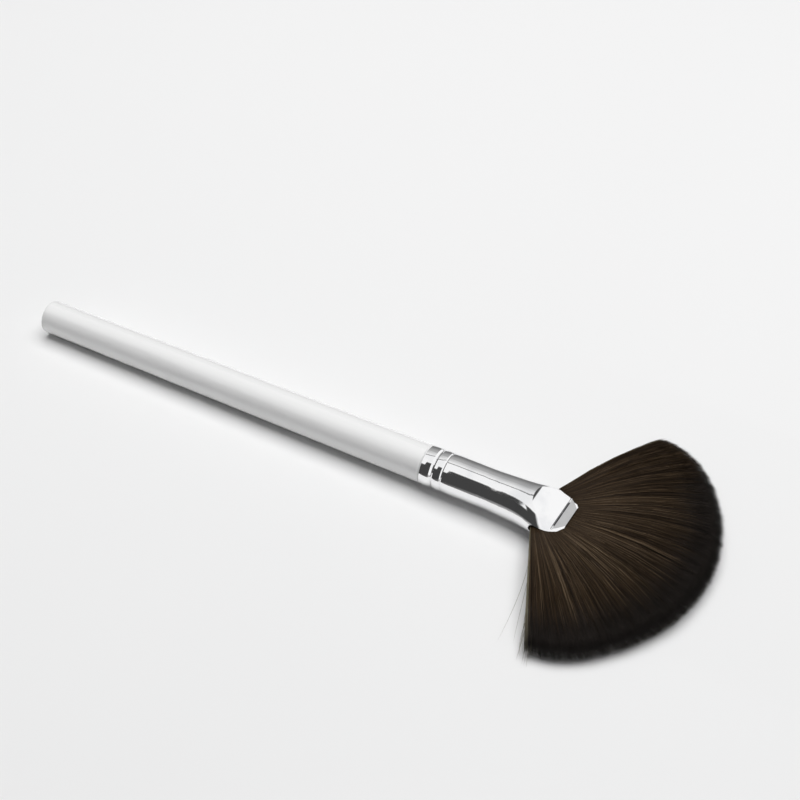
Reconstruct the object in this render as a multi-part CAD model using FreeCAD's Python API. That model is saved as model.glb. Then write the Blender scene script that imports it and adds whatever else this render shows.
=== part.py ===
import FreeCAD, Part
import math
import os

# Fan makeup brush, in millimetres, lying as it rests on a table.
# Every piece is modelled on the brush's own axis, along +X, with +Z up:
# X = 0 is the rear rim of the metal tube, the handle is behind it, the bristles are before it.
# At the end all pieces are tipped and lifted together into their rest.

Vec = FreeCAD.Vector

# Handle, a turned and lacquered rod
handle_length = 117.6
tail_radius = 4.5
shoulder_radius = 5.0
tail_round = 0.6
shoulder_bevel = 0.25

# Tenon of the handle in the tube
tenon_length = 11.0
tenon_gap = 0.03
tenon_chamfer = 0.6

# Metal tube, its seat and its two rolled grooves
tube_radius = 5.25
tube_wall = 0.4
tube_length = 39.3
rim_bevel = 0.25
band_sag = 0.08
groove_mid = 3.3
groove_width = 1.1
groove_depth = 0.3
ring_mid = 6.06
ring_width = 0.6
ring_depth = 0.15
land_end = 8.5
land_knee_sag = 0.02

# Body of the tube: how much wider and higher it is than the round seat towards the lip
body_sections = [
    # distance back from the lip, added half width, added half height
    (23.3, 0.0, 0.0),
    (19.3, 0.1, 0.07),
    (15.3, 0.35, 0.22),
    (11.3, 0.85, 0.18),
    (7.3, 1.75, -0.35),
    (3.3, 1.45, -2.2),
    (-0.7, 0.0, -3.8),
]

# Pressed mouth: a bevel above and below, a crimp line and a lip, by distances back from the lip
bevel_back = 8.8
bevel_start_height = 4.6
crimp_back = 2.5
crimp_height = 1.25
lip_height = 1.25
press_round = 2.6
press_curl = math.radians(50.0)
crimp_cut_radius = 0.3
crimp_cut_depth = 0.14

# Cut-off corners of the tongues
corner_back = 1.3
corner_half_width = 5.6
lip_half_width = 3.9

# Side notches, round at the rear and narrowing towards the lip
notch_back = 8.1
notch_half_height = 1.2
notch_end_back = 3.3
notch_end_half_height = 0.75

# Resin plug and bristle roots
plug_length = 7.0
plug_gap = 0.03
root_gap = 0.1
root_setback = 0.15

# Fan of bristles
pivot_back = 10.6
fan_half_angle = math.radians(67.0)
fan_inner_radius = 6.0
mouth_overrun = 0.9
fan_mouth_half = 0.62
tip_reach = 45.0
tip_shoulder_gain = 1.6
tip_shoulder_rate = 1.6
tip_corner_loss = 1.2
tip_corner_start = 0.85
tip_notch_depth = 0.3
fan_puff = 1.5
fan_top_drop = 1.9
fan_touch = 0.88
fan_floor_gap = 0.03
tip_under_rise = 1.3
tip_top_fall = 1.9
edge_band = math.radians(7.0)
edge_share = 0.3
fan_shares = (0.0, 0.15, 0.35, 0.55, 0.75, fan_touch, 0.95, 1.0)
lock_count = 42
lock_height = 0.28
lock_drift = 0.3
lock_drift_rate = 2.4
lock_uneven = 0.25
lock_uneven_rate = 1.7

# Half width of the tools that cut through from side to side
cutter_half = 15.0

# Stations that follow from the sizes above
barrel_end = tube_length - body_sections[0][0]
fan_pivot = tube_length - pivot_back
fan_mouth_radius = pivot_back + mouth_overrun


def section_wire(station, half_width, half_height):
    """Closed wire of a circle or a level ellipse that stands across the axis."""
    centre = Vec(station, 0, 0)
    if half_width == half_height:
        return Part.Wire(Part.Circle(centre, Vec(1, 0, 0), half_width).toShape())
    wide = Vec(station, half_width, 0)
    high = Vec(station, 0, half_height)
    return Part.Wire(Part.Ellipse(wide, high, centre).toShape())


def arc_through(start, middle, end):
    """Arc of the radial half profile through three (station, radius) points."""
    points = [Vec(station, 0, radius) for station, radius in (start, middle, end)]
    return Part.Arc(*points).toShape()


def line_between(start, end):
    """Straight edge of the radial half profile between two (station, radius) points."""
    return Part.LineSegment(Vec(start[0], 0, start[1]), Vec(end[0], 0, end[1])).toShape()


def revolved(edges):
    """Solid of a closed radial half profile turned about the axis."""
    face = Part.Face(Part.Wire(edges))
    return face.revolve(Vec(0, 0, 0), Vec(1, 0, 0), 360)


def seat_edges(inset):
    """Outline of the tube's seat with its rim and grooves, moved inwards by the inset."""
    low = tube_radius - band_sag - inset
    full = tube_radius - inset
    band_one = (rim_bevel, groove_mid - groove_width / 2)
    band_two = (groove_mid + groove_width / 2, ring_mid - ring_width / 2)
    land = (ring_mid + ring_width / 2, land_end)
    edges = [line_between((0, low - rim_bevel), (rim_bevel, low))]
    grooves = ((groove_mid, groove_depth, band_two[0]), (ring_mid, ring_depth, land[0]))
    for (start, end), (middle, depth, far_side) in zip((band_one, band_two), grooves):
        edges.append(arc_through((start, low), ((start + end) / 2, full), (end, low)))
        edges.append(line_between((end, low), (middle, low - depth)))
        edges.append(line_between((middle, low - depth), (far_side, low)))
    land_knee = ((land[0] + land[1]) / 2, full - land_knee_sag)
    edges.append(arc_through((land[0], low), land_knee, (land[1], full)))
    return edges + [line_between((land[1], full), (barrel_end, full))]


def seat_solid(inset):
    """Solid that fills the seat's outline from the rim to the end of the straight barrel."""
    low_rim = tube_radius - band_sag - inset - rim_bevel
    edges = seat_edges(inset)
    edges.append(line_between((barrel_end, tube_radius - inset), (barrel_end, 0)))
    edges.append(line_between((barrel_end, 0), (0, 0)))
    edges.append(line_between((0, 0), (0, low_rim)))
    return revolved(edges)


def press_tool(inset):
    """Prism above the bevel, the crimp line and the lip, moved inwards by the inset."""
    bevel_start = tube_length - bevel_back
    crimp_station = tube_length - crimp_back
    run = crimp_station - bevel_start
    slope = math.atan2(bevel_start_height - crimp_height, run)
    normal = Vec(math.sin(slope), 0, math.cos(slope))
    centre = Vec(bevel_start, 0, bevel_start_height) + normal * press_round
    radius = press_round + inset
    bevel_top = centre - normal * radius
    steep_angle = slope + press_curl
    steep = centre - Vec(math.sin(steep_angle), 0, math.cos(steep_angle)) * radius
    half_angle = (slope + steep_angle) / 2
    between = centre - Vec(math.sin(half_angle), 0, math.cos(half_angle)) * radius
    crimp = Vec(crimp_station, 0, crimp_height - inset / math.cos(slope))
    lip = Vec(tube_length, 0, lip_height - inset)
    past = lip + (lip - crimp)
    roof = tube_radius * 2
    corners = [bevel_top, crimp, past, Vec(past.x, 0, roof), Vec(steep.x, 0, roof), steep]
    edges = [Part.Arc(steep, between, bevel_top).toShape()]
    edges += [Part.LineSegment(a, b).toShape() for a, b in zip(corners, corners[1:])]
    face = Part.Face(Part.Wire(edges))
    face.translate(Vec(0, -cutter_half, 0))
    return face.extrude(Vec(0, 2 * cutter_half, 0))


def mirrored_down(shape):
    """Copy of a shape mirrored through the level plane of the axis."""
    return shape.mirror(Vec(0, 0, 0), Vec(0, 0, 1))


def tube_form(inset):
    """Solid inside the tube's outer skin moved inwards by the inset."""
    wires = []
    for back, wider, higher in body_sections:
        half_width = tube_radius + wider - inset
        half_height = tube_radius + higher - inset
        wires.append(section_wire(tube_length - back, half_width, half_height))
    body = Part.makeLoft(wires, True, False)
    form = seat_solid(inset).fuse(body)
    tool = press_tool(inset)
    return form.cut([tool, mirrored_down(tool)])


def plan_outline(setback):
    """Prism that cuts the tongues' corners off, moved inwards by the setback."""
    corner_station = tube_length - corner_back - setback
    side = [
        (0, cutter_half),
        (corner_station, cutter_half),
        (corner_station, corner_half_width - setback),
        (tube_length - setback, lip_half_width - setback / 2),
    ]
    corners = [Vec(s, w, -cutter_half) for s, w in side]
    corners += [Vec(s, -w, -cutter_half) for s, w in reversed(side)]
    face = Part.Face(Part.makePolygon(corners + corners[:1]))
    return face.extrude(Vec(0, 0, 2 * cutter_half))


def notch_tool():
    """Prism of the two side notches, open towards the mouth, with a rounded rear end."""
    rear = tube_length - notch_back
    centre = rear + notch_half_height
    upper = [
        Vec(centre, 0, notch_half_height),
        Vec(tube_length - notch_end_back, 0, notch_end_half_height),
        Vec(tube_length + notch_half_height, 0, notch_end_half_height),
    ]
    lower = [Vec(point.x, 0, -point.z) for point in upper]
    outline = upper + lower[::-1]
    edges = [Part.LineSegment(a, b).toShape() for a, b in zip(outline, outline[1:])]
    edges.append(Part.Arc(lower[0], Vec(rear, 0, 0), upper[0]).toShape())
    face = Part.Face(Part.Wire(edges))
    face.translate(Vec(0, -cutter_half, 0))
    return face.extrude(Vec(0, 2 * cutter_half, 0))


def crimp_tool():
    """Round bar that presses the crimp line across the upper tongue."""
    height = crimp_height + crimp_cut_radius - crimp_cut_depth
    start = Vec(tube_length - crimp_back, -cutter_half, height)
    return Part.makeCylinder(crimp_cut_radius, 2 * cutter_half, start, Vec(0, 1, 0))


def slab(start, end):
    """Box that keeps what lies between two stations."""
    corner = Vec(start, -cutter_half, -cutter_half)
    return Part.makeBox(end - start, 2 * cutter_half, 2 * cutter_half, corner)


def make_handle():
    """Turned rod with a rounded tail, a shoulder and the tenon that fits the tube's grooves."""
    inset = tube_wall + tenon_gap
    tenon_radius = tube_radius - inset
    tenon_rim = tube_radius - band_sag - inset - rim_bevel
    chamfer_start = tenon_length - tenon_chamfer
    tail = -handle_length
    bend = 1 - math.sqrt(0.5)
    edges = [
        line_between((tail, 0), (tail, tail_radius - tail_round)),
        arc_through(
            (tail, tail_radius - tail_round),
            (tail + tail_round * bend, tail_radius - tail_round * bend),
            (tail + tail_round, tail_radius),
        ),
        line_between((tail + tail_round, tail_radius), (-shoulder_bevel, shoulder_radius)),
        line_between((-shoulder_bevel, shoulder_radius), (0, shoulder_radius - shoulder_bevel)),
        line_between((0, shoulder_radius - shoulder_bevel), (0, tenon_rim)),
    ]
    edges += seat_edges(inset)
    edges[-1] = line_between((land_end, tenon_radius), (chamfer_start, tenon_radius))
    edges += [
        line_between((chamfer_start, tenon_radius), (tenon_length, tenon_radius - tenon_chamfer)),
        line_between((tenon_length, tenon_radius - tenon_chamfer), (tenon_length, 0)),
        line_between((tenon_length, 0), (tail, 0)),
    ]
    return revolved(edges)


def make_ferrule():
    """Thin tube with rolled grooves, pressed tongues and side notches."""
    shell = tube_form(0).cut(tube_form(tube_wall))
    shell = shell.common(plan_outline(0))
    crimp = crimp_tool()
    return shell.cut([notch_tool(), crimp, mirrored_down(crimp)])


def make_glue_plug():
    """Resin cast in the tube between the tenon and the bristles."""
    filling = tube_form(tube_wall + plug_gap)
    return filling.common(slab(tenon_length, tenon_length + plug_length))


def rest_slope():
    """Angle between the axis and the table, from the tail to the deepest part of the tube."""
    belly_back, _, belly_gain = max(body_sections, key=lambda section: section[2])
    rise = tube_radius + belly_gain - tail_radius
    return math.atan2(rise, tube_length - belly_back + handle_length - tail_round)


def axis_height(station):
    """Height of the axis above the table, measured square to the axis."""
    along = station + handle_length - tail_round
    return tail_radius + along * math.tan(rest_slope())


def tip_radius(angle):
    """Distance from the fan's pivot to the bristle tips in a direction."""
    share = abs(angle) / fan_half_angle
    gain = tip_shoulder_gain * math.sin(tip_shoulder_rate * angle) ** 2
    past = max(0.0, (share - tip_corner_start) / (1 - tip_corner_start))
    return tip_reach + gain - tip_corner_loss * past ** 2


def lock_line(index):
    """Direction and wave, from -1 to 1, of one crest or valley line between locks of hair."""
    lines = 2 * lock_count
    inside = 0 < index < lines
    drift = lock_drift * math.sin(lock_drift_rate * index) if inside else 0.0
    angle = fan_half_angle * (2 * (index + drift) / lines - 1)
    side = 1 if index % 2 else -1
    return angle, side * (1 - lock_uneven * (1 - math.sin(lock_uneven_rate * index)))


def fan_heights(angle, wave, radius, reach):
    """Heights above the axis of the fan's top and underside at one place on a line."""
    share = max(0.0, (radius - fan_mouth_radius) / (reach - fan_mouth_radius))
    fall = min(share / fan_touch, 1.0)
    fall = fall * fall * (3 - 2 * fall)
    past = max(0.0, (share - fan_touch) / (1 - fan_touch)) ** 2
    station = fan_pivot + radius * math.cos(angle)
    floor_drop = axis_height(station) - fan_floor_gap - lock_height
    under = -fan_mouth_half - (floor_drop - fan_mouth_half) * fall + tip_under_rise * past
    top = fan_mouth_half + fan_puff * math.sin(math.pi * share) - fan_top_drop * share ** 2
    top -= tip_top_fall * past
    edge = max(0.0, (abs(angle) - fan_half_angle + edge_band) / edge_band) ** 2
    half = (top - under) / 2 * (1 - (1 - edge_share) * edge)
    half += wave * lock_height * math.sqrt(share) * (1 - edge)
    middle = (top + under) / 2
    return middle + half, middle - half


def smooth_edge(points):
    """Edge of a smooth curve through points."""
    curve = Part.BSplineCurve()
    curve.interpolate(points)
    return curve.toShape()


def fan_line(index):
    """Upper and lower point rows of one crest or valley line, from the mouth to the tips."""
    angle, wave = lock_line(index)
    reach = tip_radius(angle) + tip_notch_depth * wave
    radii = [fan_inner_radius, (fan_inner_radius + fan_mouth_radius) / 2]
    radii += [fan_mouth_radius + (reach - fan_mouth_radius) * share for share in fan_shares]
    upper, lower = [], []
    for radius in radii:
        station = fan_pivot + radius * math.cos(angle)
        aside = radius * math.sin(angle)
        top, under = fan_heights(angle, wave, radius, reach)
        upper.append(Vec(station, aside, top))
        lower.append(Vec(station, aside, under))
    return upper, lower


def strip_faces(first, second):
    """Top, underside, tip and inner faces between two neighbouring lines of the fan."""
    faces = []
    for row_one, row_two in zip(first, second):
        faces.append(Part.makeRuledSurface(smooth_edge(row_one), smooth_edge(row_two)))
    for end in (0, -1):
        upper = Part.LineSegment(first[0][end], second[0][end]).toShape()
        lower = Part.LineSegment(first[1][end], second[1][end]).toShape()
        faces.append(Part.makeRuledSurface(upper, lower))
    return faces


def make_fan():
    """Closed fan of tapering locks, each with a crest between two valleys."""
    lines = [fan_line(index) for index in range(2 * lock_count + 1)]
    faces = []
    for first, second in zip(lines, lines[1:]):
        faces += strip_faces(first, second)
    for upper, lower in (lines[0], lines[-1]):
        faces.append(Part.makeRuledSurface(smooth_edge(upper), smooth_edge(lower)))
    shell = Part.makeShell(faces)
    shell.sewShape()
    fan = Part.makeSolid(shell)
    if fan.Volume < 0:
        fan.reverse()
    return fan


def make_bristle_tuft():
    """Roots that fill the tube before the plug, in one piece with the fan."""
    roots = tube_form(tube_wall + root_gap)
    roots = roots.common(slab(tenon_length + plug_length, tube_length - root_setback))
    roots = roots.common(plan_outline(root_setback))
    return roots.fuse(make_fan())


def at_rest(shape):
    """Copy of a shape tipped to the table's slope, over the origin of the lying brush."""
    slope = rest_slope()
    middle = (fan_pivot + tip_reach + tip_notch_depth / 2 - handle_length) / 2
    placed = shape.copy()
    placed.rotate(Vec(0, 0, 0), Vec(0, 1, 0), -math.degrees(slope))
    placed.translate(Vec(-middle * math.cos(slope), 0, axis_height(0) * math.cos(slope)))
    return placed


def main():
    """Build each piece and write it out."""
    makers = {
        "handle": make_handle,
        "ferrule": make_ferrule,
        "glue_plug": make_glue_plug,
        "bristle_tuft": make_bristle_tuft,
    }
    os.makedirs("parts", exist_ok=True)
    for name, maker in makers.items():
        piece = at_rest(maker())
        box = piece.BoundBox
        print(
            f"{name}: {len(piece.Solids)} solid, valid {piece.isValid()}, {piece.Volume:.1f} mm3,"
            f" x {box.XMin:.2f} to {box.XMax:.2f}, y {box.YMin:.2f} to {box.YMax:.2f},"
            f" z {box.ZMin:.2f} to {box.ZMax:.2f}"
        )
        piece.exportStep(f"parts/{name}.step")


main()
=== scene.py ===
"""Looks of the fan makeup brush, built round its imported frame.

Sizes of the brush are in millimetres on its own axis: a station along the axis from the rear rim of
the metal tube, a distance aside, and a height above the axis. BrushAxis turns them into metres.
"""

import logging
import math
from dataclasses import dataclass, fields
from enum import Enum

import bpy
import numpy as np
from mathutils import Matrix, Vector


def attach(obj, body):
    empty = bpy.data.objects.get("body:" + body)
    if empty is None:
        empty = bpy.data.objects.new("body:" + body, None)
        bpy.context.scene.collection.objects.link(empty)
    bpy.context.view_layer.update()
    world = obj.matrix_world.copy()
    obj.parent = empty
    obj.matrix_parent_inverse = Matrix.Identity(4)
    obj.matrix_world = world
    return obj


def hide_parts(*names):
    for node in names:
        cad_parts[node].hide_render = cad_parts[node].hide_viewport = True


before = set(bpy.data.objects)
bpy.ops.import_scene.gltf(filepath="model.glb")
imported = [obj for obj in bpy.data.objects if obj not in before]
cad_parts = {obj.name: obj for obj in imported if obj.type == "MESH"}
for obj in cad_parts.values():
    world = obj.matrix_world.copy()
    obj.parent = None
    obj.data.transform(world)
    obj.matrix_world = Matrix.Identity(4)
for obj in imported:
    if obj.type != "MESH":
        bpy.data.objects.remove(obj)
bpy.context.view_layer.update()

BODY = "root"
TUFT_NODE = "bristle_tuft"
# The name of the texture map that strand pieces bring, from which their finish reads each
# strand's tone and how far out a place is.
MAP_NAME = "OFBake"
MM = 0.001
# Station of the point that the hair fans out from.
FAN_PIVOT = 28.7
RGB = tuple[float, float, float]
Triple = tuple[float, float, float]
# Two numbers, such as where a ramp starts and where it is full.
Pair = tuple[float, float]
log = logging.getLogger("brush")


class Sock:
    """A shader socket whose arithmetic adds the Math nodes that work it out."""

    def __init__(self, shading: "Shading", socket: bpy.types.NodeSocket) -> None:
        """Keep the socket and the tree it is in."""
        self.shading = shading
        self.socket = socket

    def _math(self, operation: str, *values: "Sock | float") -> "Sock":
        """Result of one Math node on these values."""
        return self.shading.node("ShaderNodeMath", {"operation": operation}, dict(enumerate(values)))

    def __add__(self, other: "Sock | float") -> "Sock":
        """This plus other."""
        return self._math("ADD", self, other)

    def __radd__(self, other: "Sock | float") -> "Sock":
        """Other plus this."""
        return self._math("ADD", other, self)

    def __sub__(self, other: "Sock | float") -> "Sock":
        """This less other."""
        return self._math("SUBTRACT", self, other)

    def __rsub__(self, other: "Sock | float") -> "Sock":
        """Other less this."""
        return self._math("SUBTRACT", other, self)

    def __mul__(self, other: "Sock | float") -> "Sock":
        """This times other."""
        return self._math("MULTIPLY", self, other)

    def __rmul__(self, other: "Sock | float") -> "Sock":
        """Other times this."""
        return self._math("MULTIPLY", other, self)

    def angle_from(self, other: "Sock") -> "Sock":
        """Angle in degrees whose sine goes with this and whose cosine goes with other."""
        return self._math("ARCTAN2", self, other) * math.degrees(1.0)

    def size(self) -> "Sock":
        """This without its sign."""
        return self._math("ABSOLUTE", self)

    def ramp(self, low: float, high: float) -> "Sock":
        """Smooth step of this from 0 at low to 1 at high."""
        settings = {"interpolation_type": "SMOOTHSTEP"}
        values = {"Value": self, "From Min": low, "From Max": high}
        return self.shading.node("ShaderNodeMapRange", settings, values)


class Shading:
    """Node tree of a material or the world, with one method that adds any node."""

    def __init__(self, owner: bpy.types.Material | bpy.types.World) -> None:
        """Start the owner's node tree empty."""
        owner.use_nodes = True
        self.tree = owner.node_tree
        self.tree.nodes.clear()

    @staticmethod
    def _find(sockets: bpy.types.bpy_prop_collection, key: str | int) -> bpy.types.NodeSocket:
        """Socket of that index, identifier or name."""
        if isinstance(key, int):
            return sockets[key]
        for socket in sockets:
            if socket.identifier == key:
                return socket
        return sockets[key]

    def node(
        self,
        kind: str,
        settings: dict[str, object] | None = None,
        values: dict[str | int, object] | None = None,
        result: str | int = 0,
    ) -> Sock:
        """Add a node.

        Args:
            kind: the node's type.
            settings: its properties, set before its sockets.
            values: a number, colour or Sock for each input, by name, identifier or index.
            result: the output to give back.

        Returns:
            The chosen output.
        """
        made = self.tree.nodes.new(kind)
        for name, value in (settings or {}).items():
            setattr(made, name, value)
        for key, value in (values or {}).items():
            socket = self._find(made.inputs, key)
            if isinstance(value, Sock):
                self.tree.links.new(value.socket, socket)
            else:
                socket.default_value = value
        return Sock(self, self._find(made.outputs, result))

    def close(self, kind: str, shader: Sock) -> None:
        """Add the output node of that type and give it the shader."""
        self.tree.links.new(shader.socket, self.tree.nodes.new(kind).inputs["Surface"])

    def blend(self, factor: Sock | float, first: Sock | RGB, second: Sock | RGB) -> Sock:
        """Colour between first and second, at second where factor is 1."""
        full = [c if isinstance(c, Sock) else (*c, 1.0) for c in (first, second)]
        values = {"Factor_Float": factor, "A_Color": full[0], "B_Color": full[1]}
        return self.node("ShaderNodeMix", {"data_type": "RGBA"}, values, "Result_Color")

    def place(self) -> Sock:
        """Place on the piece, in metres."""
        return self.node("ShaderNodeTexCoord", result="Object")

    def part(self, where: Sock, axis: str) -> Sock:
        """One coordinate of a place."""
        return self.node("ShaderNodeSeparateXYZ", values={"Vector": where}, result=axis)

    def noise(self, where: Sock, scale: float, detail: float = 2.0) -> Sock:
        """Even noise from 0 to 1, of so many lumps to the metre."""
        values = {"Vector": where, "Scale": scale, "Detail": detail}
        return self.node("ShaderNodeTexNoise", values=values, result="Fac")

    def streaks(self, where: Sock, scale: Triple, detail: float = 2.0) -> Sock:
        """Noise from 0 to 1, of so many lumps to the metre along each axis."""
        stretched = self.node("ShaderNodeMapping", values={"Vector": where, "Scale": scale})
        return self.noise(stretched, 1.0, detail)

    def bump(self, height: Sock, depth: float, strength: float = 1.0) -> Sock:
        """Normal of a surface that the height, from 0 to 1, lifts by the depth in metres."""
        values = {"Height": height, "Distance": depth, "Strength": strength}
        return self.node("ShaderNodeBump", values=values)


@dataclass(frozen=True)
class Finish:
    """A surface finish. Each kind paints its own shader."""

    name: str

    def paint(self, shading: Shading) -> Sock:
        """Shader of this finish."""
        raise NotImplementedError

    def material(self) -> bpy.types.Material:
        """Material of this finish."""
        made = bpy.data.materials.new(self.name)
        shading = Shading(made)
        shading.close("ShaderNodeOutputMaterial", self.paint(shading))
        return made


@dataclass(frozen=True)
class Lacquer(Finish):
    """White gloss lacquer over turned wood, with a trace of the wood's swell under the coat."""

    name: str = "white_lacquer"
    colour: RGB = (0.895, 0.895, 0.893)
    shade: RGB = (0.880, 0.881, 0.880)
    roughness: float = 0.32
    coat_roughness: float = 0.05
    ior: float = 1.5
    grain_scale: Triple = (12.0, 260.0, 260.0)
    grain_detail: float = 3.0
    grain_fade: Pair = (0.35, 0.75)
    peel_scale: float = 700.0
    peel_depth: float = 4e-6
    peel_gloss: float = 0.06

    def paint(self, shading: Shading) -> Sock:
        """White that varies by a shade along the grain, with a faint orange peel."""
        where = shading.place()
        grain = shading.streaks(where, self.grain_scale, self.grain_detail)
        peel = shading.noise(where, self.peel_scale)
        values = {
            "Base Color": shading.blend(grain.ramp(*self.grain_fade), self.colour, self.shade),
            "Roughness": self.roughness + self.peel_gloss * (peel - 0.5),
            "Normal": shading.bump(peel, self.peel_depth),
            "Coat Weight": 1.0,
            "Coat Roughness": self.coat_roughness,
            "IOR": self.ior,
        }
        return shading.node("ShaderNodeBsdfPrincipled", values=values)


@dataclass(frozen=True)
class Plating(Finish):
    """Bright nickel plate with fine polishing marks round the tube and a painted dark line where it
    is crimped.

    The dark line is painted shade: it stands in for the shade in the crease where the tube is
    crimped.
    It lies across the axis at its place, in metres, as wide and as far to both sides as its half
    width and its reach say, and is broken where its noise is low.
    """

    name: str = "bright_plating"
    colour: RGB = (0.93, 0.93, 0.935)
    worn: RGB = (0.82, 0.825, 0.84)
    # Painted shade in the crease where the tube is crimped.
    crimp_colour: RGB = (0.07, 0.07, 0.075)
    crimp_place: float = 0.05868
    crimp_half: Pair = (0.00026, 0.00012)
    crimp_reach: Pair = (0.0047, 0.0041)
    crimp_scale: float = 900.0
    crimp_breaks: Pair = (0.30, 0.42)
    crimp_gloss: float = 0.25
    roughness: float = 0.05
    drift_scale: float = 170.0
    drift_fade: Pair = (0.42, 0.75)
    drift_gloss: float = 0.035
    mark_scale: Triple = (9000.0, 160.0, 160.0)
    mark_depth: float = 1.2e-6
    mark_strength: float = 0.25

    def paint(self, shading: Shading) -> Sock:
        """Mirror whose roughness and colour drift a little, with faint marks across the axis."""
        where = shading.place()
        drift = shading.noise(where, self.drift_scale)
        marks = shading.streaks(where, self.mark_scale, detail=1.0)
        # Mask of the painted shade in the crease where the tube is crimped.
        along = (shading.part(where, "X") - self.crimp_place).size().ramp(*self.crimp_half)
        crimp_shade = along * shading.part(where, "Y").size().ramp(*self.crimp_reach)
        crimp_shade = crimp_shade * shading.noise(where, self.crimp_scale, detail=1.0).ramp(*self.crimp_breaks)
        metal = shading.blend(drift.ramp(*self.drift_fade), self.colour, self.worn)
        values = {
            "Base Color": shading.blend(crimp_shade, metal, self.crimp_colour),
            "Roughness": self.roughness + self.drift_gloss * drift + self.crimp_gloss * crimp_shade,
            "Normal": shading.bump(marks, self.mark_depth, self.mark_strength),
            "Metallic": 1.0,
        }
        return shading.node("ShaderNodeBsdfPrincipled", values=values)


@dataclass(frozen=True)
class Resin(Finish):
    """Cast amber resin that holds the bristle roots."""

    name: str = "cast_resin"
    colour: RGB = (0.36, 0.25, 0.12)
    clouded: RGB = (0.24, 0.16, 0.08)
    cloud_scale: float = 420.0
    cloud_detail: float = 4.0
    cloud_fade: Pair = (0.3, 0.7)
    cloud_gloss: float = 0.2
    roughness: float = 0.25
    bubble_scale: float = 1800.0
    bubble_depth: float = 3e-5

    def paint(self, shading: Shading) -> Sock:
        """Amber with cloudy drifts and small bubbles."""
        where = shading.place()
        cloud = shading.noise(where, self.cloud_scale, self.cloud_detail)
        bubbles = shading.noise(where, self.bubble_scale)
        values = {
            "Base Color": shading.blend(cloud.ramp(*self.cloud_fade), self.colour, self.clouded),
            "Roughness": self.roughness + self.cloud_gloss * cloud,
            "Normal": shading.bump(bubbles, self.bubble_depth),
        }
        return shading.node("ShaderNodeBsdfPrincipled", values=values)


@dataclass(frozen=True)
class Hair(Finish):
    """Two-tone synthetic hair: dark brown at the roots, almost black at the tips.

    The map's first number is the strand's own tone and the second how far out the place is, both
    from 0 to 1, so every strand has its own shade and darkens towards its tip. The lightest strands
    are painted lighter near the roots, partly for their own paler tone and partly as a painted glint
    on single strands, and lose it halfway out. The hair is painted darker where it leaves the tube,
    painted shade of the tube's mouth, and its very ends are painted lighter, a painted highlight of
    the light that the fine tips catch.
    """

    name: str = "dark_hair"
    dark: RGB = (0.0130, 0.0073, 0.0036)
    brown: RGB = (0.0520, 0.0325, 0.0165)
    # Partly the lightest strands' own tone, partly a painted glint on single strands.
    light: RGB = (0.1650, 0.1180, 0.0740)
    tip: RGB = (0.0205, 0.0168, 0.0148)
    # Painted highlight at the very ends of the strands.
    end: RGB = (0.0400, 0.0335, 0.0300)
    brown_fade: Pair = (0.1, 0.8)
    light_from: float = 0.72
    light_fade: Pair = (0.50, 0.96)
    fade: Pair = (0.62, 0.90)
    end_fade: Pair = (0.90, 1.0)
    # How much painted shade darkens the hair where it leaves the tube, and over what share of the way
    # out.
    root_shade: float = 0.55
    root_reach: float = 0.22
    roughness: float = 0.48
    tip_gloss: float = 0.10
    specular: float = 0.18

    def paint(self, shading: Shading) -> Sock:
        """Shade by tone, with a painted glint and painted shade near the tube, faded to the tip's
        near black, and a painted highlight at the very ends.
        """
        where = shading.node("ShaderNodeUVMap", {"uv_map": MAP_NAME})
        tone, along = shading.part(where, "X"), shading.part(where, "Y")
        root = shading.blend(tone.ramp(*self.brown_fade), self.dark, self.brown)
        # Painted glint: the lightest strands are painted lighter near the roots, partly their own
        # paler tone and partly a glint of light on single strands.
        pale_and_glint = tone.ramp(self.light_from, 1.0) * (1 - along.ramp(*self.light_fade))
        root = shading.blend(pale_and_glint, root, self.light)
        # Painted shade: the hair is painted darker where it leaves the tube, for the shade of the
        # tube's mouth.
        root_shade_mask = self.root_shade * along.ramp(self.root_reach, 0.0)
        root = shading.blend(root_shade_mask, root, self.dark)
        # Painted highlight: the very ends are painted lighter, for the light that the fine tips
        # catch.
        tip = shading.blend(along.ramp(*self.end_fade), self.tip, self.end)
        values = {
            "Base Color": shading.blend(along.ramp(*self.fade), root, tip),
            "Roughness": self.roughness + self.tip_gloss * along,
            "Specular IOR Level": self.specular,
        }
        return shading.node("ShaderNodeBsdfPrincipled", values=values)


@dataclass(frozen=True)
class EdgeHair(Hair):
    """The outermost strands, painted olive and pale: painted light for the light shining through thin
    strands.
    """

    name: str = "pale_edge_hair"
    # These colours are painted light: paler than the hair, for the light that shines through thin
    # strands.
    dark: RGB = (0.0620, 0.0520, 0.0290)
    brown: RGB = (0.1700, 0.1500, 0.0900)
    light: RGB = (0.5000, 0.4600, 0.3800)
    tip: RGB = (0.1300, 0.1150, 0.0850)
    end: RGB = (0.1700, 0.1550, 0.1250)
    light_from: float = 0.60
    light_fade: Pair = (0.95, 1.0)


@dataclass(frozen=True)
class PackedHair(Finish):
    """The dark mass of hair between the strands that show."""

    name: str = "packed_hair"
    dark: RGB = (0.008, 0.0065, 0.0055)
    brown: RGB = (0.020, 0.015, 0.011)
    line_scale: Triple = (60.0, 2200.0, 900.0)
    line_fade: Pair = (0.35, 0.7)
    line_depth: float = 8e-5
    line_gloss: float = 0.15
    roughness: float = 0.6
    specular: float = 0.25

    def paint(self, shading: Shading) -> Sock:
        """Dark brown with fine lines that run along the axis."""
        lines = shading.streaks(shading.place(), self.line_scale)
        values = {
            "Base Color": shading.blend(lines.ramp(*self.line_fade), self.dark, self.brown),
            "Roughness": self.roughness + self.line_gloss * lines,
            "Normal": shading.bump(lines, self.line_depth),
            "Specular IOR Level": self.specular,
        }
        return shading.node("ShaderNodeBsdfPrincipled", values=values)


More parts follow.
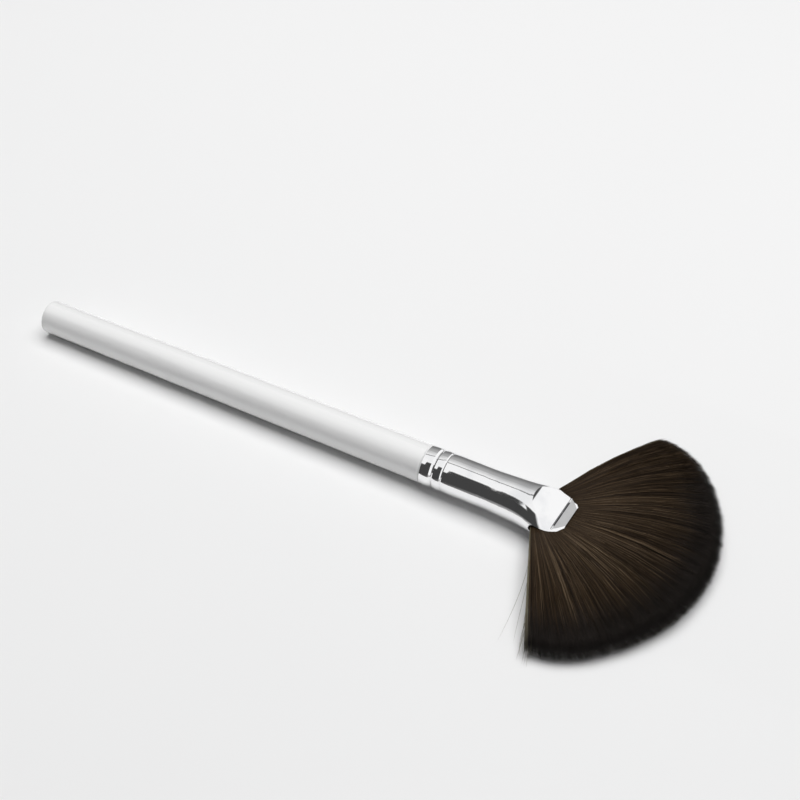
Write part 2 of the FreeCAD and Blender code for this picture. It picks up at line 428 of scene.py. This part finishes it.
@dataclass(frozen=True)
class Paper(Finish):
    """Plain white paper on which the brush lies."""

    name: str = "white_paper"
    colour: RGB = (0.875, 0.875, 0.875)
    shade: RGB = (0.865, 0.866, 0.868)
    drift_scale: float = 9.0
    roughness: float = 0.9
    specular: float = 0.1

    def paint(self, shading: Shading) -> Sock:
        """Even white with a hardly visible drift."""
        drift = shading.noise(shading.place(), self.drift_scale)
        values = {
            "Base Color": shading.blend(drift, self.colour, self.shade),
            "Roughness": self.roughness,
            "Specular IOR Level": self.specular,
        }
        return shading.node("ShaderNodeBsdfPrincipled", values=values)


@dataclass(frozen=True)
class StudioGlow(Finish):
    """Brightness that bright metal sees round it, by the angle round the brush's axis.

    The angle is 0 level towards the camera's side, 90 straight up and 180 level on the far side.
    Every step is its angle in degrees, how wide it is, and the level beyond it. The first step is
    shifted by first_shift degrees where both ramps of shifted are full. The others lean by up to
    lean degrees over the stretch leaning. Each of the ends, both ahead of the hair, is where it
    starts, where it is full and its even level. These places are along the axis, in metres.
    """

    name: str = "studio_glow"
    first_level: float = 0.055
    first_shift: float = 17.0
    shifted: tuple[Pair, Pair] = ((-0.118, -0.150), (-0.29, -0.255))
    lean: float = 24.0
    leaning: Pair = (-0.10, 0.12)
    steps: tuple[Triple, ...] = (
        (61.0, 5.0, 0.96),
        (100.0, 1.5, 0.10),
        (103.5, 1.5, 0.88),
        (122.0, 36.0, 0.42),
        (155.0, 40.0, 0.20),
    )
    ends: tuple[Triple, ...] = ((0.01, 0.08, 1.0), (0.31, 0.38, 0.08))

    def paint(self, shading: Shading) -> Sock:
        """Grey emission: smooth steps of level over the angle, then even levels ahead of the hair."""
        where = shading.place()
        angle = shading.part(where, "Z").angle_from(0 - shading.part(where, "Y"))
        along = shading.part(where, "X")
        level, last = self.first_level, self.first_level
        shift = along.ramp(*self.shifted[0]) * along.ramp(*self.shifted[1])
        turned = angle + self.first_shift * shift
        for middle, width, beyond in self.steps:
            step = turned.ramp(middle - width / 2, middle + width / 2)
            level, last = level + (beyond - last) * step, beyond
            turned = angle - self.lean * along.ramp(*self.leaning)
        for start, full, even in self.ends:
            level = level + along.ramp(start, full) * (even - level)
        values = {"Color": shading.blend(level, (0.0,) * 3, (1.0,) * 3), "Strength": 1.0}
        return shading.node("ShaderNodeEmission", values=values)


def raise_mesh(
    name: str,
    points: np.ndarray,
    faces: list[np.ndarray],
    coords: np.ndarray | None = None,
) -> bpy.types.Object:
    """Put whole arrays into a new mesh object.

    Args:
        name: name of the piece.
        points: places, one row a vertex, in metres.
        faces: arrays of vertex numbers, one row a face, each array with its own corner count.
        coords: first and second map coordinate of each vertex, if the piece has a map.

    Returns:
        The linked object, at the origin.
    """
    mesh = bpy.data.meshes.new(name)
    corners = np.concatenate([f.ravel() for f in faces]).astype(np.int32)
    sizes = np.concatenate([np.full(len(f), f.shape[1]) for f in faces]).astype(np.int32)
    starts = np.concatenate([[0], np.cumsum(sizes)[:-1]]).astype(np.int32)
    mesh.vertices.add(len(points))
    mesh.vertices.foreach_set("co", points.astype(np.float32).ravel())
    mesh.loops.add(len(corners))
    mesh.loops.foreach_set("vertex_index", corners)
    mesh.polygons.add(len(sizes))
    mesh.polygons.foreach_set("loop_start", starts)
    mesh.polygons.foreach_set("loop_total", sizes)
    mesh.update(calc_edges=True)
    mesh.polygons.foreach_set("use_smooth", np.ones(len(sizes), bool))
    if coords is not None:
        layer = mesh.uv_layers.new(name=MAP_NAME)
        layer.data.foreach_set("uv", coords[corners].astype(np.float32).ravel())
    mesh.validate()
    piece = bpy.data.objects.new(name, mesh)
    bpy.context.scene.collection.objects.link(piece)
    return piece


def grid_faces(rows: int, columns: int, wrap: bool = False) -> np.ndarray:
    """Quads of a grid whose points are stored row by row.

    Args:
        rows: number of rows of points.
        columns: points in a row.
        wrap: whether the last column joins the first.

    Returns:
        One row of four vertex numbers for each quad.
    """
    row, column = np.meshgrid(np.arange(rows - 1), np.arange(columns - (not wrap)), indexing="ij")
    after = (column + 1) % columns
    corners = [row * columns + column, row * columns + after]
    corners += [(row + 1) * columns + after, (row + 1) * columns + column]
    return np.stack([c.ravel() for c in corners], axis=1)


def smooth(share: np.ndarray) -> np.ndarray:
    """Smooth step of a share from 0 to 1: three times its square less twice its cube."""
    share = np.clip(share, 0.0, 1.0)
    return share * share * (3.0 - 2.0 * share)


@dataclass(frozen=True)
class BrushAxis:
    """The brush's own axis and how it lies at rest, in millimetres.

    It rests on the rounded edge of its tail and on the belly of the tube, which stands out from the
    tube's radius by the gain. The origin is below the middle between the tail and the tip of the
    solid's longest lock, half a notch beyond the solid's reach from the fan's pivot.
    """

    handle_length: float = 117.6
    tail_radius: float = 4.5
    tail_round: float = 0.6
    tube_radius: float = 5.25
    belly_station: float = 24.0
    belly_gain: float = 0.22
    solid_reach: float = 45.0
    tip_notch: float = 0.3

    @property
    def slope(self) -> float:
        """Angle between the axis and the table."""
        rise = self.tube_radius + self.belly_gain - self.tail_radius
        return math.atan2(rise, self.belly_station + self.handle_length - self.tail_round)

    def height(self, station: np.ndarray | float) -> np.ndarray | float:
        """Height of the axis over the table, measured square to the axis."""
        along = station + self.handle_length - self.tail_round
        return self.tail_radius + along * math.tan(self.slope)

    def place(self, station: np.ndarray, aside: np.ndarray, height: np.ndarray) -> np.ndarray:
        """Places in metres: the axis frame turned by the slope, over the middle of the brush.

        Args:
            station: distances along the axis from the tube's rear rim.
            aside: distances to the left of the axis.
            height: heights above the axis.

        Returns:
            One row of x, y and z for each place.
        """
        last_tip = FAN_PIVOT + self.solid_reach + self.tip_notch / 2
        middle = (last_tip - self.handle_length) / 2
        cos, sin = math.cos(self.slope), math.sin(self.slope)
        x = (station - middle) * cos - height * sin
        z = station * sin + (height + self.height(0.0)) * cos
        return np.stack([x, aside, z], axis=-1).reshape(-1, 3) * MM


@dataclass(frozen=True)
class FanForm:
    """Form of the spread hair, close to that of the part's source, in millimetres.

    The numbers say how wide and how far it spreads, what the tips lose of their reach on the near
    side and towards the corners, how the top and the underside run from the mouth to the tips, and
    over what angle the edges close up to a share of their thickness.
    """

    axis: BrushAxis
    half_angle: float = math.radians(67.0)
    mouth_radius: float = 11.5
    mouth_half: float = 0.62
    reach: float = 46.3
    near_loss: float = 1.25
    near_angle: float = math.radians(-55.0)
    corner_loss: float = 3.6
    corner_start: float = 0.70
    puff: float = 1.5
    top_drop: float = 1.9
    touch: float = 0.88
    floor_gap: float = 0.31
    under_rise: float = 1.3
    top_fall: float = 1.2
    edge_band: float = math.radians(7.0)
    edge_share: float = 0.3
    overrun: float = 1.1

    def station(self, angle: np.ndarray, radius: np.ndarray) -> np.ndarray:
        """Station of a fan direction and a distance from the pivot."""
        return FAN_PIVOT + radius * np.cos(angle)

    def tips(self, angle: np.ndarray) -> np.ndarray:
        """Reach of the tips: less by a square towards the corners and by a step on the near side."""
        past = (np.abs(angle) / self.half_angle - self.corner_start) / (1 - self.corner_start)
        near = self.near_loss * smooth(angle / self.near_angle)
        return self.reach - near - self.corner_loss * np.clip(past, 0.0, self.overrun) ** 2

    def share(self, angle: np.ndarray, radius: np.ndarray) -> np.ndarray:
        """How far out a place is: 0 at the tube's mouth, 1 at the tips."""
        share = (radius - self.mouth_radius) / (self.tips(angle) - self.mouth_radius)
        return np.clip(share, 0.0, self.overrun)

    def heights(self, angle: np.ndarray, radius: np.ndarray) -> tuple[np.ndarray, np.ndarray]:
        """Top and underside above the axis.

        The underside falls from the mouth to the table by a smooth step, then rises as a square.
        The top swells by half a sine wave and falls as a square. Both close up towards the edges.

        Args:
            angle: directions from the axis, in radians.
            radius: distances from the pivot.

        Returns:
            Heights of the top and of the underside.
        """
        share = self.share(angle, radius)
        fall = smooth(share / self.touch)
        past = np.clip((share - self.touch) / (1 - self.touch), 0.0, 1.0) ** 2
        drop = self.axis.height(self.station(angle, radius)) - self.floor_gap
        under = -self.mouth_half - (drop - self.mouth_half) * fall + self.under_rise * past
        swell = self.puff * np.sin(np.pi * np.clip(share, 0.0, 1.0))
        top = self.mouth_half + swell - self.top_drop * share**2 - self.top_fall * past
        inside = self.half_angle - np.abs(angle)
        edge = np.clip(1.0 - inside / self.edge_band, 0.0, 1.0) ** 2
        half = (top - under) / 2 * (1 - (1 - self.edge_share) * edge)
        middle = (top + under) / 2
        return middle + half, middle - half

    def place(self, angle: np.ndarray, radius: np.ndarray, height: np.ndarray) -> np.ndarray:
        """Places in metres of fan directions, distances from the pivot and heights."""
        return self.axis.place(self.station(angle, radius), radius * np.sin(angle), height)


@dataclass(frozen=True)
class Layer:
    """How one layer of strands lies in the fan.

    Attributes:
        name: name of the piece.
        count: number of strands.
        low: least share of the way from the underside to the top.
        high: greatest share of that way.
        seed: start of its random numbers.
        first: direction of the near side, in degrees from the axis.
        last: direction of the far side.
        wander: how far strands drift from their directions, in degrees.
        length_noise: how uneven the tips are, in millimetres.
        tone: middle shade, from 0 dark to 1 light.
        lock_tone: how much the shade varies from lock to lock.
        own_tone: how much it varies from strand to strand.
        width: thickness against the plain strand's.
        finish: kind of hair.
    """

    name: str
    count: int
    low: float
    high: float
    seed: int
    first: float = -64.4
    last: float = 65.4
    wander: float = 1.3
    length_noise: float = 0.45
    tone: float = 0.42
    lock_tone: float = 0.28
    own_tone: float = 0.18
    width: float = 1.0
    finish: type[Hair] = Hair


def edge_layer(name: str, count: int, seed: int, sides: Pair, tone: float) -> Layer:
    """Layer of thin strands along one edge, between two directions in degrees, in the edge hair's
    colour, painted pale for the light that shines through it.
    """
    return Layer(
        name, count, 0.2, 1.0, seed, *sides, wander=0.5, length_noise=0.9, tone=tone,
        lock_tone=0.2, own_tone=0.2, width=0.8, finish=EdgeHair,
    )


class Layers(Enum):
    """The layers of strands, from the table upwards, and the thin ones along both edges."""

    UNDER = Layer("hair_under_layer", 4600, low=0.0, high=0.22, seed=11)
    INNER = Layer("hair_inner_layer", 4600, low=0.15, high=0.85, seed=23, length_noise=0.55)
    UPPER = Layer("hair_upper_layer", 5600, low=0.80, high=0.99, seed=37)
    TOP = Layer("hair_top_layer", 5600, low=0.93, high=1.03, seed=41, wander=1.9)
    # Painted highlight: pale, wider strands on the top of the near side, whose light colour stands in
    # for glints on the hair.
    LIGHT = Layer(
        "hair_glint_strands", 105, low=0.97, high=1.05, seed=67, first=-62.5, last=8.0, wander=2.4,
        length_noise=0.9, tone=0.88, lock_tone=0.1, own_tone=0.12, width=1.25,
    )
    NEAR_EDGE = edge_layer("hair_near_edge", 560, 53, (-65.7, -63.2), tone=0.66)
    FAR_EDGE = edge_layer("hair_far_edge", 460, 59, (64.4, 67.0), tone=0.30)


@dataclass(frozen=True)
class Strand:
    """Sizes of one strand in millimetres: tapered, three-sided, with a pointed tip.

    It starts at a distance from the fan's pivot. Its corners stand half its width off its middle
    line, at the shares of its length that rings gives, each narrowed as taper says. Every corner is
    lighter than the one before by side_shade.
    """

    start: float = 7.0
    half_width: float = 0.062
    rings: tuple[float, ...] = (0.0, 0.14, 0.34, 0.56, 0.77, 0.92)
    taper: tuple[float, ...] = (0.75, 1.0, 1.0, 0.92, 0.74, 0.45)
    sides: int = 3
    side_shade: float = 0.004

    @property
    def way(self) -> np.ndarray:
        """Shares of the length at which a strand has its rings and its tip."""
        return np.array([*self.rings, 1.0])


@dataclass(frozen=True)
class Habit:
    """How strands stray from an even fan, in locks and each on its own.

    Attributes:
        lock_rates: slowest and fastest wave over the directions for length and depth.
        drift_rates: the same for the drift aside.
        tone_rates: the same for the shade.
        drift: share of the wander that a strand takes on its own, and with its lock.
        bend: share of the wander by which it bows.
        turn_from: share of the way to an edge from which strands turn inwards.
        turn: how much of the drift turns there, and how strongly it leads inwards.
        length: share of the length noise that it takes on its own, and with its lock.
        depth: how much deeper a lock lies, as a share of the fan's thickness.
        unevenness: how uneven the heights are towards the tips, in millimetres.
        clearance: least height over the table, in millimetres.
        width: least and greatest width against the plan's.
        tone: least and greatest shade.
        dark_from: direction in degrees from which the far side stays brown farther out.
        dark_band: angle over which it comes to do so.
        dark_share: how much less dark its tips are.
        dark_noise: how uneven the line is at which strands darken.
    """

    lock_rates: Pair = (9.0, 150.0)
    drift_rates: Pair = (30.0, 190.0)
    tone_rates: Pair = (60.0, 640.0)
    drift: Pair = (0.32, 0.6)
    bend: float = 0.5
    turn_from: float = 0.9
    turn: Pair = (0.8, 0.6)
    length: Pair = (0.7, 0.5)
    depth: float = 0.05
    unevenness: float = 0.10
    clearance: float = 0.12
    width: Pair = (0.8, 1.2)
    tone: Pair = (0.02, 0.98)
    dark_from: float = 36.0
    dark_band: float = 22.0
    dark_share: float = 0.42
    dark_noise: float = 0.05


@dataclass(frozen=True)
class CoreForm:
    """Dark mass between the strands.

    Attributes:
        first: direction of its near side, in degrees from the axis.
        last: direction of its far side.
        reach: share of the tips' distance to which it reaches.
        inset: how far it stays inside the fan's skin, in millimetres.
        columns: points over the directions.
        rows: points from the mouth outwards.
        spacing: power that spaces the rows.
    """

    first: float = -63.8
    last: float = 65.4
    reach: float = 0.93
    inset: float = 0.35
    columns: int = 96
    rows: int = 24
    spacing: float = 0.9


class HairFan:
    """The spread hair: a packed core, the roots in the tube and layers of single strands."""

    def __init__(self, form: FanForm, strand: Strand, habit: Habit) -> None:
        """Keep the fan's form, the strand's sizes and how strands stray."""
        self.form = form
        self.strand = strand
        self.habit = habit
        self.hair = {kind: kind().material() for kind in (Hair, EdgeHair)}
        self.packed = PackedHair().material()

    def finish(self, piece: bpy.types.Object, material: bpy.types.Material) -> bpy.types.Object:
        """Dress a piece of hair, hang it on the body it rides on, and hide the frame's tuft."""
        piece.data.materials.append(material)
        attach(piece, BODY)
        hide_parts(TUFT_NODE)
        log.info("%s: %d faces", piece.name, len(piece.data.polygons))
        return piece

    def core(self, mass: CoreForm) -> bpy.types.Object:
        """Closed dark mass a little inside the fan's form.

        A grid over direction and distance for the top, its like for the underside, and strips of
        quads round the border between them.

        Args:
            mass: where it lies and how fine its grid is.

        Returns:
            The piece.
        """
        form, start, rows, columns = self.form, self.strand.start, mass.rows, mass.columns
        angle = np.radians(np.linspace(mass.first, mass.last, columns))[None, :]
        share = np.linspace(0.0, 1.0, rows)[:, None] ** mass.spacing
        radius = start + (mass.reach * form.tips(angle) - start) * share
        angle = np.broadcast_to(angle, radius.shape)
        top, under = form.heights(angle, radius)
        top, under = top - mass.inset, np.minimum(under + mass.inset, top - 2 * mass.inset)
        points = np.concatenate([form.place(angle, radius, top), form.place(angle, radius, under)])
        upper = grid_faces(rows, columns)
        lower = upper[:, ::-1] + rows * columns
        number = np.arange(rows * columns).reshape(rows, columns)
        ring = np.concatenate([number[0], number[1:, -1], number[-1, -2::-1], number[-2:0:-1, 0]])
        after = np.roll(ring, -1)
        border = np.stack([ring, ring + rows * columns, after + rows * columns, after], axis=1)
        piece = raise_mesh("hair_core", points, [upper[:, ::-1], lower[:, ::-1], border[:, ::-1]])
        return self.finish(piece, self.packed)

    def roots(self, columns: int = 40) -> bpy.types.Object:
        """Bundle of roots in the tube, an oval at each station, closed by a disc at both ends.

        Args:
            columns: points round each oval.

        Returns:
            The piece.
        """
        ovals = np.array([
            # station, half width, half height
            (18.1, 4.75, 4.70),
            (24.0, 5.00, 4.85),
            (28.0, 5.40, 4.70),
            (31.5, 6.00, 3.20),
            (34.5, 5.80, 1.85),
            (37.0, 4.80, 0.62),
            (39.2, 3.60, 0.70),
        ])
        turn = np.linspace(0.0, 2 * np.pi, columns, endpoint=False)
        station = np.repeat(ovals[:, 0], columns)
        aside = (ovals[:, 1:2] * np.cos(turn)).ravel()
        height = (ovals[:, 2:3] * np.sin(turn)).ravel()
        rows = len(ovals)
        ends = self.form.axis.place(ovals[[0, -1], 0], np.zeros(2), np.zeros(2))
        points = np.concatenate([self.form.axis.place(station, aside, height), ends])
        here = np.arange(columns)
        after = np.roll(here, -1)
        last = (rows - 1) * columns
        rear = np.stack([np.full(columns, rows * columns), after, here], axis=1)
        front = np.stack([np.full(columns, rows * columns + 1), last + here, last + after], axis=1)
        piece = raise_mesh("hair_roots", points, [grid_faces(rows, columns, True), rear, front])
        return self.finish(piece, self.packed)

    @staticmethod
    def waves(chance: np.random.Generator, angle: np.ndarray, rates: Pair) -> np.ndarray:
        """Uneven wave over the directions, a sum of sines, mostly from -1 to 1.

        Args:
            chance: random numbers for where each sine starts.
            angle: directions in radians.
            rates: the slowest and the fastest sine, in radians to the radian.

        Returns:
            The wave at each direction.
        """
        count, tallest = 9, 3.6
        starts = chance.uniform(0.0, 2 * np.pi, count)
        return np.sin(np.geomspace(*rates, count) * angle[:, None] + starts).sum(axis=1) / tallest

    def tubes(
        self, path: np.ndarray, width: np.ndarray, tone: np.ndarray, along: np.ndarray
    ) -> tuple[np.ndarray, list[np.ndarray], np.ndarray]:
        """Tapered three-sided tubes round many paths at once.

        Round each point but the last stand three corners, square to the path's direction there, at
        half the width from it. The last point closes the tube as its tip, a face closes its root.

        Args:
            path: places, strand by strand and point by point, in metres.
            width: width of each strand against the plain one.
            tone: shade of each strand.
            along: how far out each point is.

        Returns:
            Points, faces and map coordinates.
        """
        count, length = path.shape[:2]
        strand, rings, sides = self.strand, length - 1, self.strand.sides
        half = (strand.half_width * width)[:, None] * np.array(strand.taper) * MM
        run = np.gradient(path, axis=1)[:, :-1]
        run /= np.linalg.norm(run, axis=2, keepdims=True)
        side = np.cross(np.array([0.0, 0.0, 1.0]), run)
        side /= np.linalg.norm(side, axis=2, keepdims=True)
        up = np.cross(run, side)
        turn = np.pi / 2 + 2 * np.pi * np.arange(sides) / sides
        across = side[:, :, None] * np.cos(turn)[:, None] + up[:, :, None] * np.sin(turn)[:, None]
        corners = path[:, :-1, None] + across * half[:, :, None, None]
        block = np.concatenate([corners.reshape(count, -1, 3), path[:, -1:]], axis=1)
        each = rings * sides + 1
        here = np.arange(sides)
        after = np.roll(here, -1)
        last = (rings - 1) * sides
        tip = np.stack([last + here, last + after, np.full(sides, each - 1)], axis=1)
        root = np.array([here[::-1]])
        offsets = np.arange(count)[:, None, None] * each
        faces = [
            (grid_faces(rings, sides, True)[None] + offsets).reshape(-1, 4),
            (np.concatenate([tip, root])[None] + offsets).reshape(-1, 3),
        ]
        shade = tone[:, None] + np.tile((here - 1) * strand.side_shade, rings)
        shade = np.concatenate([shade, tone[:, None]], axis=1)
        far = np.concatenate([np.repeat(along[:, :-1], sides, axis=1), along[:, -1:]], axis=1)
        coords = np.stack([np.clip(shade, 0.0, 1.0), np.clip(far, 0.0, 1.0)], axis=2)
        return block.reshape(-1, 3), faces, coords.reshape(-1, 2)

    def course(
        self, plan: Layer, chance: np.random.Generator, start: np.ndarray, locks: np.ndarray
    ) -> tuple[np.ndarray, np.ndarray]:
        """Direction and distance from the pivot of every point of a layer's strands.

        A strand drifts from its own direction by a little as it goes out, and inwards at an edge.

        Args:
            plan: how the layer lies.
            chance: its random numbers.
            start: direction of each strand at its root.
            locks: wave that gathers the strands in locks.

        Returns:
            Directions and distances, one row a strand.
        """
        habit, root, wander = self.habit, self.strand.start, math.radians(plan.wander)
        own, shared = habit.drift
        drift = wander * chance.normal(0.0, 1.0, plan.count) * own
        drift += wander * shared * self.waves(chance, start, habit.drift_rates)
        bend = wander * chance.normal(0.0, habit.bend, plan.count)
        share = start / np.radians(np.where(start < 0, plan.first, plan.last))
        turn, inward = habit.turn
        turned = turn * np.clip((share - habit.turn_from) / (1 - habit.turn_from), 0.0, 1.0)
        drift = drift * (1 - turned) - np.sign(start) * turned * np.abs(drift) * inward
        out = self.strand.way
        angle = start[:, None] + drift[:, None] * out + bend[:, None] * (out**2 - out)
        own, shared = habit.length
        noise = shared * locks + chance.normal(0.0, own, plan.count)
        reach = self.form.tips(start) + plan.length_noise * noise
        return angle, root + (reach[:, None] - root) * out

    def layer(self, plan: Layer) -> bpy.types.Object:
        """One layer of strands.

        The height of a strand is a fixed share of the way from the fan's underside to its top. Shade,
        length and drift follow slow waves over the directions, so that neighbours lie in locks, with
        noise of their own on top.

        Args:
            plan: how the layer lies.

        Returns:
            The piece.
        """
        form, habit, chance = self.form, self.habit, np.random.default_rng(plan.seed)
        count, first, last = plan.count, math.radians(plan.first), math.radians(plan.last)
        start = first + (last - first) * (np.arange(count) + chance.uniform(0.0, 1.0, count)) / count
        locks = self.waves(chance, start, habit.lock_rates)
        angle, radius = self.course(plan, chance, start, locks)
        top, under = form.heights(angle, radius)
        share = form.share(angle, radius)
        depth = chance.uniform(plan.low, plan.high, count)[:, None]
        depth = depth + habit.depth * locks[:, None] * self.strand.way
        height = under + (top - under) * depth
        height += habit.unevenness * share * chance.normal(0.0, 1.0, (count, 1))
        height = np.maximum(height, habit.clearance - form.axis.height(form.station(angle, radius)))
        path = form.place(angle, radius, height).reshape(*angle.shape, 3)
        width = plan.width * chance.uniform(*habit.width, count)
        tone = plan.tone + plan.lock_tone * self.waves(chance, start, habit.tone_rates)
        tone += chance.normal(0.0, plan.own_tone, count)
        far = smooth((np.degrees(start) - habit.dark_from) / habit.dark_band)[:, None]
        along = share * (1 - habit.dark_share * far)
        along = along + habit.dark_noise * chance.normal(0.0, 1.0, (count, 1))
        points, faces, coords = self.tubes(path, width, np.clip(tone, *habit.tone), along)
        piece = raise_mesh(plan.name, points, faces, coords)
        return self.finish(piece, self.hair[plan.finish])

    def strays(self, width: float = 0.8, tone: float = 0.95) -> bpy.types.Object:
        """Single hairs that stand off the edges.

        Each runs through three places, given by direction and distance from the pivot, on the curve
        whose direction and distance are squares of the way along it.

        Args:
            width: their width against the plain strand.
            tone: their shade.

        Returns:
            The piece.
        """
        table = np.array([
            # directions at root, middle and tip in degrees, distances there, height of the tip
            (-65.0, -70.6, -74.5, 18.0, 30.5, 40.4, 1.6),
            (-65.0, -67.9, -69.2, 22.0, 32.0, 40.0, 1.2),
            (-64.6, -66.2, -67.4, 30.0, 37.5, 43.3, 0.7),
            (-64.8, -66.8, -66.6, 33.0, 38.5, 43.0, 0.9),
            (-64.0, -65.9, -65.4, 31.0, 38.0, 43.6, 0.5),
            (-64.6, -66.0, -67.0, 26.0, 34.0, 42.5, 0.6),
            (-64.8, -66.4, -67.8, 34.0, 39.5, 44.2, 0.8),
            (-64.5, -65.6, -66.4, 20.0, 31.0, 41.0, 0.7),
            (-64.3, -65.3, -66.0, 36.0, 41.0, 44.8, 0.5),
            (-64.0, -64.8, -65.4, 37.0, 42.0, 45.2, 0.5),
            (-63.5, -64.3, -64.6, 38.0, 42.5, 45.6, 0.4),
            (66.0, 67.4, 68.2, 24.0, 35.0, 44.0, 1.0),
        ])
        form, count = self.form, len(table)
        way = np.linspace(0.0, 1.0, len(self.strand.rings) + 1)

        def curve(columns: slice) -> np.ndarray:
            """Values along the way through the three given ones."""
            root, middle, tip = (column[:, None] for column in table[:, columns].T)
            return root + (4 * middle - 3 * root - tip) * way + 2 * (root - 2 * middle + tip) * way**2

        angle, radius = np.radians(curve(slice(0, 3))), curve(slice(3, 6))
        top, under = form.heights(angle[:, :1], radius[:, :1])
        tip_height = table[:, 6:] - form.axis.height(form.station(angle, radius))
        height = (top + under) / 2 * (1 - way) + tip_height * way
        path = form.place(angle, radius, height).reshape(*angle.shape, 3)
        widths, tones = np.full(count, width), np.full(count, tone)
        points, faces, coords = self.tubes(path, widths, tones, np.zeros_like(angle))
        piece = raise_mesh("hair_strays", points, faces, coords)
        # Painted light: they take the edge hair's pale colour, for the light that shines through
        # single hairs.
        return self.finish(piece, self.hair[EdgeHair])

    def build(self) -> list[bpy.types.Object]:
        """Every piece of the fan."""
        layers = [self.layer(plan.value) for plan in Layers]
        return [self.core(CoreForm()), self.roots(), *layers, self.strays()]


@dataclass(frozen=True)
class HardPieces:
    """The pieces that keep the frame's own meshes and get their finish here."""

    handle: Lacquer = Lacquer()
    ferrule: Plating = Plating()
    glue_plug: Resin = Resin()

    def dress(self) -> None:
        """Give each node its material."""
        for node in fields(self):
            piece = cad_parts[node.name]
            piece.data.materials.clear()
            piece.data.materials.append(getattr(self, node.name).material())
            log.info("%s: frame node, %d faces", node.name, len(piece.data.polygons))


@dataclass(frozen=True)
class Softbox:
    """A flat lamp that looks at the middle of the scene, in metres."""

    name: str
    place: Triple
    width: float
    depth: float
    level: float

    def build(self) -> None:
        """Hang the lamp, with its power such that its face has the level's brightness."""
        lamp = bpy.data.lights.new(self.name, "AREA")
        lamp.shape = "RECTANGLE"
        lamp.size, lamp.size_y = self.width, self.depth
        lamp.energy = self.level * math.pi * self.width * self.depth
        made = bpy.data.objects.new(self.name, lamp)
        made.location = self.place
        made.rotation_euler = (-Vector(self.place)).to_track_quat("-Z", "Y").to_euler()
        made.visible_camera = made.visible_glossy = False
        bpy.context.scene.collection.objects.link(made)


@dataclass(frozen=True)
class Studio:
    """White paper, soft light, and the camera as in the photograph."""

    camera_place: Triple = (0.167128, -0.267067, 0.309185)
    look: Pair = (-0.4973, 0.867579)
    elevation: float = math.radians(42.8585)
    roll: float = math.radians(-0.1457)
    focal_pixels: float = 1731.49
    frame_pixels: float = 800.0
    sensor: float = 36.0
    clip: Pair = (0.01, 50.0)
    world_level: float = 0.08
    floor_half: float = 1.6
    tunnel_radius: float = 0.40
    tunnel_half: float = 0.75
    near_gap: float = 0.022
    far_gap: float = 0.060
    softbox: Softbox = Softbox(
        "overhead_softbox", place=(0.0, 0.22, 1.12), width=1.4, depth=1.0, level=3.76
    )

    def camera(self) -> None:
        """Camera at its place, looking down by the elevation along the look direction."""
        data = bpy.data.cameras.new("camera")
        data.sensor_width = self.sensor
        data.lens = self.focal_pixels / self.frame_pixels * self.sensor
        data.clip_start, data.clip_end = self.clip
        forward = Vector((*self.look, 0.0)) * math.cos(self.elevation)
        forward.z = -math.sin(self.elevation)
        level = Vector((self.look[1], -self.look[0], 0.0)).normalized()
        up = level.cross(forward)
        right = level * math.cos(self.roll) + up * math.sin(self.roll)
        up = up * math.cos(self.roll) - level * math.sin(self.roll)
        made = bpy.data.objects.new("camera", data)
        turn = Matrix((right, up, -forward)).transposed().to_4x4()
        made.matrix_world = Matrix.Translation(self.camera_place) @ turn
        bpy.context.scene.collection.objects.link(made)
        bpy.context.scene.camera = made

    def floor(self) -> None:
        """Square sheet of paper under the brush."""
        side = np.array([-self.floor_half, self.floor_half])
        x, y = np.meshgrid(side, side)
        points = np.stack([x.ravel(), y.ravel(), np.zeros(4)], axis=1)
        sheet = raise_mesh("paper_floor", points, [grid_faces(2, 2)])
        sheet.data.materials.append(Paper().material())

    def tunnel(self, points: int = 48, lift: float = 0.0004) -> None:
        """Tunnel round the brush that only its own gloss sees.

        The profile is a half circle over the axis, with a wing on each side that runs in over the
        paper up to a gap.

        Args:
            points: points along the half circle.
            lift: height of the wings over the paper.
        """
        turn = np.linspace(0.0, np.pi, points)
        y = np.concatenate([[-self.near_gap], -self.tunnel_radius * np.cos(turn), [self.far_gap]])
        z = np.concatenate([[lift], lift + self.tunnel_radius * np.sin(turn), [lift]])
        x = np.repeat([-self.tunnel_half, self.tunnel_half], len(y))
        places = np.column_stack([x, np.tile(y, 2), np.tile(z, 2)])
        made = raise_mesh("studio_tunnel", places, [grid_faces(2, len(y))])
        made.data.materials.append(StudioGlow().material())
        made.visible_camera = made.visible_diffuse = made.visible_shadow = False
        made.visible_transmission = made.visible_volume_scatter = False

    def world(self) -> None:
        """Even grey surroundings."""
        world = bpy.data.worlds.new("room")
        bpy.context.scene.world = world
        shading = Shading(world)
        grey = (*[self.world_level] * 3, 1.0)
        light = shading.node("ShaderNodeBackground", values={"Color": grey, "Strength": 1.0})
        shading.close("ShaderNodeOutputWorld", light)

    def build(self) -> None:
        """Everything round the brush."""
        self.camera()
        self.floor()
        self.world()
        self.tunnel()
        self.softbox.build()
        bpy.context.scene.view_settings.view_transform = "Standard"


def main() -> None:
    """Build the studio and the brush."""
    logging.basicConfig(level=logging.INFO, format="%(name)s: %(message)s")
    Studio().build()
    HardPieces().dress()
    hair = HairFan(FanForm(BrushAxis()), Strand(), Habit()).build()
    log.info("fan: %d pieces of hair", len(hair))


if __name__ == "__main__":
    main()
